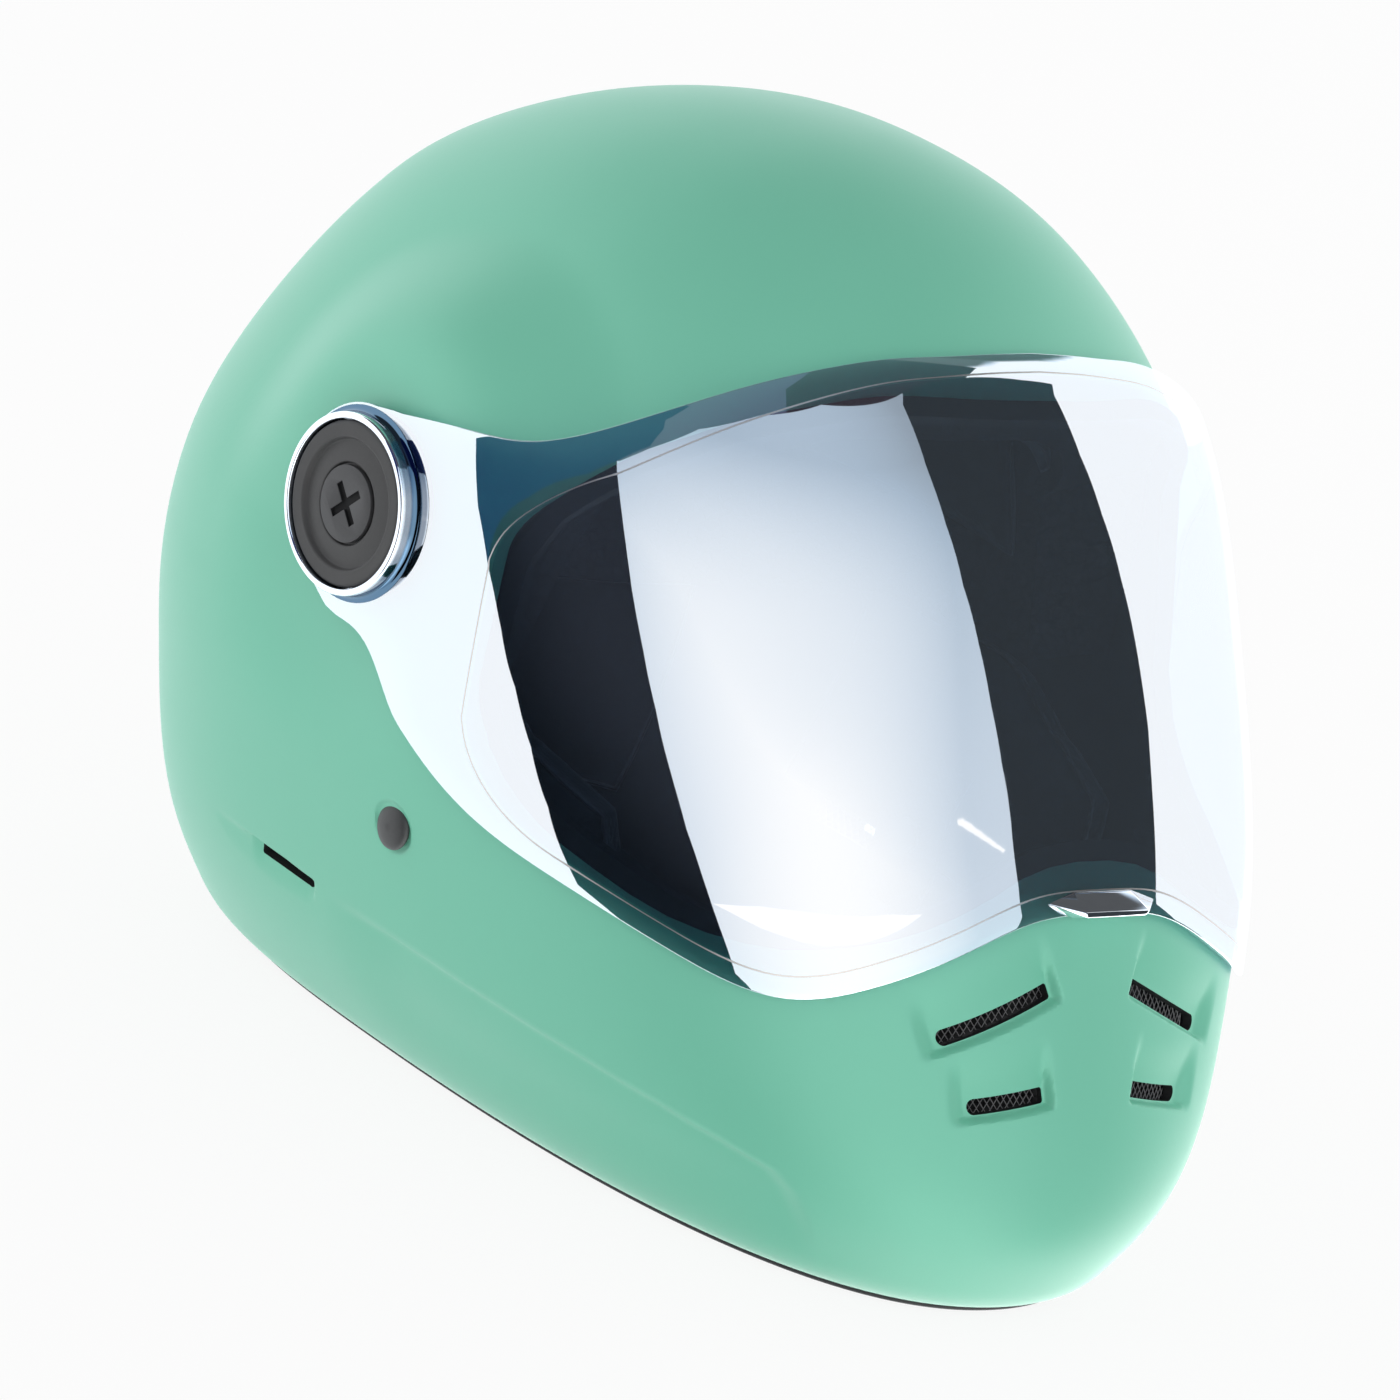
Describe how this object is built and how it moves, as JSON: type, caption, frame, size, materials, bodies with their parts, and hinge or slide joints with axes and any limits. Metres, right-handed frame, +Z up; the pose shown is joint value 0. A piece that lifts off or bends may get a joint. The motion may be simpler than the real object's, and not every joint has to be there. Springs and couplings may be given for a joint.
{
  "type": "full face sport helmet",
  "caption": "Full face sport helmet with a mint green shell, chin bar slots, foam lining, chin strap and a mirror visor that lifts on two side pivots.",
  "frame": {"origin": "under the middle of the helmet, on the plane that the neck rim rests on", "axes": "+Z up from the neck rim, -Y the way the face looks, X across the head with the wearer's left on +X"},
  "size_m": [0.2638, 0.338, 0.262],
  "materials": {
    "shell_paint": "mint green satin paint over laminate",
    "liner_foam": "black moulded bead foam",
    "comfort_fabric": "black brushed knit over soft foam",
    "edge_rubber": "black soft rubber",
    "wire_mesh": "black coated wire mesh",
    "mirror_visor": "clear shield with a bluish mirror coating",
    "inner_lens": "clear anti-fog lens with a pale bead of glue round it",
    "bright_chrome": "polished chrome plating on plastic",
    "black_plastic": "matt black moulded plastic",
    "screw_black": "satin black moulded screw",
    "plain_steel": "bright zinc plated steel",
    "rivet_grey": "dark grey matt lacquer on steel",
    "webbing": "black woven polyester webbing"
  },
  "bodies": {
    "helmet": {"outer_shell": "shell_paint", "crown_liner": "liner_foam", "chin_liner": "liner_foam", "crown_pad": "comfort_fabric", "brow_pad": "comfort_fabric", "cheek_pad_left": "comfort_fabric", "cheek_pad_right": "comfort_fabric", "neck_roll": "comfort_fabric", "eye_port_gasket": "edge_rubber", "neck_edge_trim": "edge_rubber", "vent_mesh_left": "wire_mesh", "vent_mesh_right": "wire_mesh", "exhaust_mesh_left": "wire_mesh", "exhaust_mesh_right": "wire_mesh", "pivot_base_left": "black_plastic", "pivot_base_right": "black_plastic", "pivot_washer_left": "plain_steel", "pivot_washer_right": "plain_steel", "pivot_cap_left": "black_plastic", "pivot_cap_right": "black_plastic", "pivot_screw_left": "screw_black", "pivot_screw_right": "screw_black", "pivot_nut_left": "plain_steel", "pivot_nut_right": "plain_steel", "strap_rivet_left": "rivet_grey", "strap_rivet_right": "rivet_grey"},
    "visor": {"visor": "mirror_visor", "visor_inner_lens": "inner_lens", "visor_tab": "bright_chrome", "pivot_collar_left": "bright_chrome", "pivot_collar_right": "bright_chrome"},
    "strap_left": {"strap_anchor_left": "plain_steel", "strap_left": "webbing", "strap_snap": "black_plastic"},
    "strap_right": {"strap_anchor_right": "plain_steel", "strap_right": "webbing"},
    "rings": {"d_rings": "plain_steel"}
  },
  "joints": [
    {"name": "visor_hinge", "type": "hinge", "parent": "helmet", "child": "visor", "pos_m": [0, 0.023, 0.152], "axis": [-1, 0, 0], "range_deg": [0, 60]},
    {"name": "strap_left_swing", "type": "hinge", "parent": "helmet", "child": "strap_left", "pos_m": [0.108, -0.014, 0.078], "axis": [1, 0, 0], "range_deg": [-8, 8]},
    {"name": "strap_right_swing", "type": "hinge", "parent": "helmet", "child": "strap_right", "pos_m": [-0.108, -0.014, 0.078], "axis": [1, 0, 0], "range_deg": [-8, 8]},
    {"name": "ring_swing", "type": "hinge", "parent": "strap_right", "child": "rings", "pos_m": [-0.08, -0.014, 0.038], "axis": [0, -1, 0], "range_deg": [-5, 80]}
  ]
}
